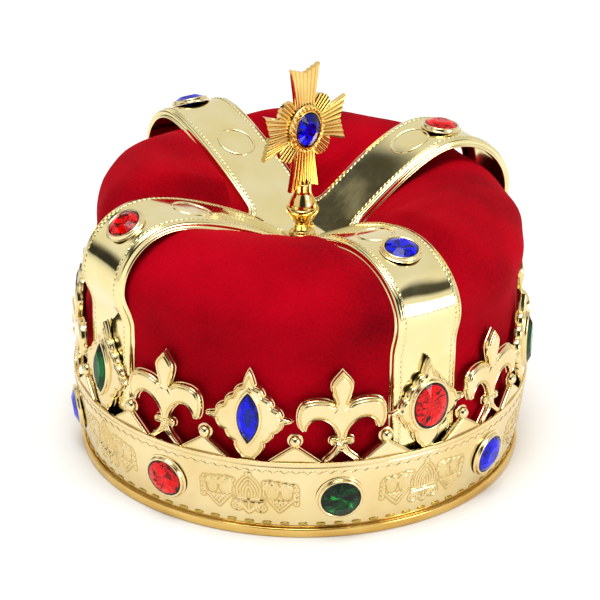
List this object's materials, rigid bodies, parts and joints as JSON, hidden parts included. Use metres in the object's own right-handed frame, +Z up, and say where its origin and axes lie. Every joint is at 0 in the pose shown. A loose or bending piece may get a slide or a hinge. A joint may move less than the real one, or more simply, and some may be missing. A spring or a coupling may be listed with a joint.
{
  "type": "crown",
  "caption": "Costume king's crown: gold plastic band with fleur-de-lis and lozenge crest, arches over a puffed red velvet cap, and a jewelled star cross that turns.",
  "frame": {"origin": "centre of the head opening, in the plane the bottom rim stands on", "axes": "+Z up along the head opening's axis; the crown's front, with the oval gem and one arch, faces -Y; +X is to the right seen from the front"},
  "size_m": [0.2078, 0.2147, 0.1754],
  "materials": {
    "crown_gold": "vacuum-metallised pale gold, mirror bright",
    "arch_gold": "metallised sheet, mirror bright with faint dents, bound edges",
    "rim_gold": "metallised, deeper orange gold",
    "finial_gold": "metallised, deep yellow gold",
    "red_velvet": "short-pile velvet",
    "sweatband_felt": "matt felt strip",
    "backing_plastic": "plain moulded disc",
    "red_gem": "faceted transparent acrylic, foil backed",
    "green_gem": "faceted transparent acrylic, foil backed",
    "blue_gem": "faceted transparent acrylic, foil backed",
    "screw_steel": "zinc plated"
  },
  "bodies": {
    "crown": {"bottom_rim": "rim_gold", "band": "crown_gold", "sweatband": "sweatband_felt", "velvet_cap": "red_velvet", "arch_sheet": "arch_gold", "hub_plate": "backing_plastic", "ball_points": "crown_gold", "fleur_1": "crown_gold", "fleur_2": "crown_gold", "fleur_3": "crown_gold", "fleur_4": "crown_gold", "fleur_5": "crown_gold", "fleur_6": "crown_gold", "fleur_7": "crown_gold", "fleur_8": "crown_gold", "lozenge_1": "crown_gold", "lozenge_2": "crown_gold", "lozenge_3": "crown_gold", "lozenge_4": "crown_gold", "lozenge_5": "crown_gold", "lozenge_6": "crown_gold", "lozenge_7": "crown_gold", "lozenge_8": "crown_gold", "band_bezels": "crown_gold", "oval_bezel": "crown_gold", "marquise_bezels": "crown_gold", "arch_bezels": "crown_gold", "band_gem_1": "blue_gem", "band_gem_2": "red_gem", "band_gem_3": "green_gem", "band_gem_4": "blue_gem", "band_gem_5": "red_gem", "band_gem_6": "blue_gem", "band_gem_7": "red_gem", "band_gem_8": "green_gem", "lozenge_gem_1": "red_gem", "lozenge_gem_2": "green_gem", "lozenge_gem_3": "blue_gem", "lozenge_gem_4": "red_gem", "lozenge_gem_5": "green_gem", "lozenge_gem_6": "blue_gem", "lozenge_gem_7": "green_gem", "lozenge_gem_8": "blue_gem", "arch_gem_1": "blue_gem", "arch_gem_2": "red_gem", "arch_gem_3": "blue_gem", "arch_gem_4": "red_gem"},
    "finial": {"finial_post": "finial_gold", "neck_pin": "finial_gold", "star_cross": "finial_gold", "cross_bezel": "finial_gold", "cross_gem": "blue_gem", "finial_screw": "screw_steel", "finial_washer": "screw_steel"}
  },
  "joints": [
    {"name": "finial_swivel", "type": "hinge", "parent": "crown", "child": "finial", "pos_m": [0, 0, 0.097], "axis": [0, 0, 1], "continuous": true}
  ]
}
